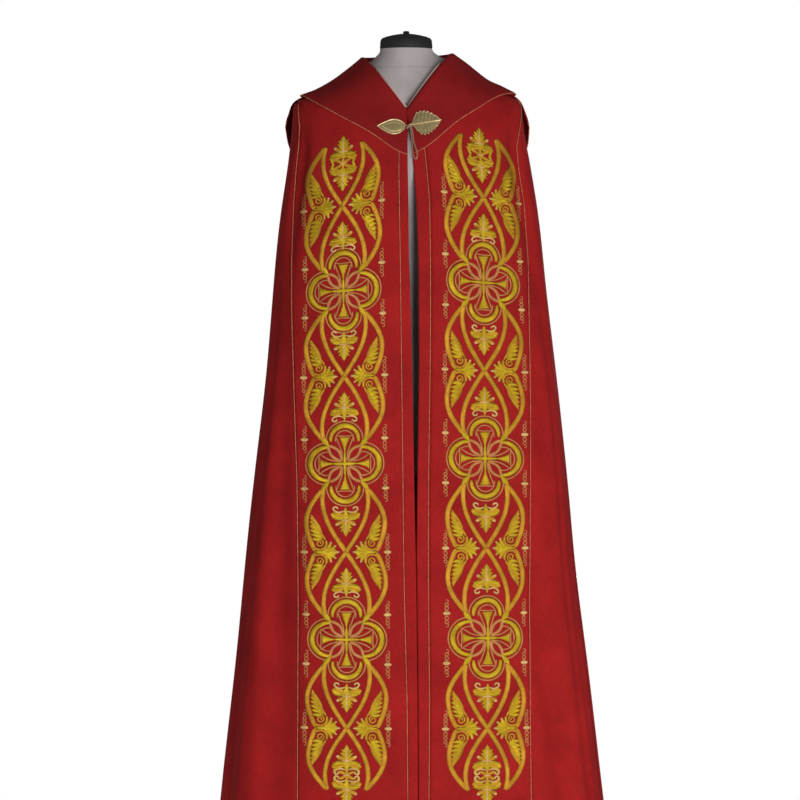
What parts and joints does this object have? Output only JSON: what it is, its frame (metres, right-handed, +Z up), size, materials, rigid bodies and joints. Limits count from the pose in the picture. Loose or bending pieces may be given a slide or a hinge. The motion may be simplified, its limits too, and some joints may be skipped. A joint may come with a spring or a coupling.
{
  "type": "cope vestment on a dress form with a stand",
  "caption": "Full-length open-fronted cope with a wide piped collar, embroidered front bands, a back hood and a leaf clasp, worn by a limbless dress form on a round stand.",
  "frame": {"origin": "centre of the stand base's underside, on the floor", "axes": "+Z up; -Y towards the front of the garment; +X towards the wearer's left"},
  "size_m": [0.8045, 0.5633, 1.695],
  "materials": {
    "red_cloth": "matt woven wool",
    "gold_piping": "twisted metallic cord",
    "cream_facing": "plain woven",
    "clasp_metal": "antique cast",
    "form_jersey": "fine jersey",
    "black_cap": "satin",
    "stand_metal": "satin black"
  },
  "bodies": {
    "root": {"right_edge_band": "red_cloth", "left_edge_band": "red_cloth", "right_orphrey": "red_cloth", "left_orphrey": "red_cloth", "right_front": "red_cloth", "left_front": "red_cloth", "right_back": "red_cloth", "left_back": "red_cloth", "hood": "red_cloth", "collar": "red_cloth", "neck_facing": "cream_facing", "right_line_piping": "gold_piping", "left_line_piping": "gold_piping", "right_seam_piping": "gold_piping", "left_seam_piping": "gold_piping", "collar_piping": "gold_piping", "hood_piping": "gold_piping", "right_clasp_leaf": "clasp_metal", "left_clasp_leaf": "clasp_metal", "clasp_eye": "clasp_metal", "clasp_hook": "clasp_metal", "clasp_chain": "clasp_metal", "form_body": "form_jersey", "neck_cap": "black_cap", "stand_pole": "stand_metal", "stand_base": "stand_metal"}
  },
  "joints": []
}
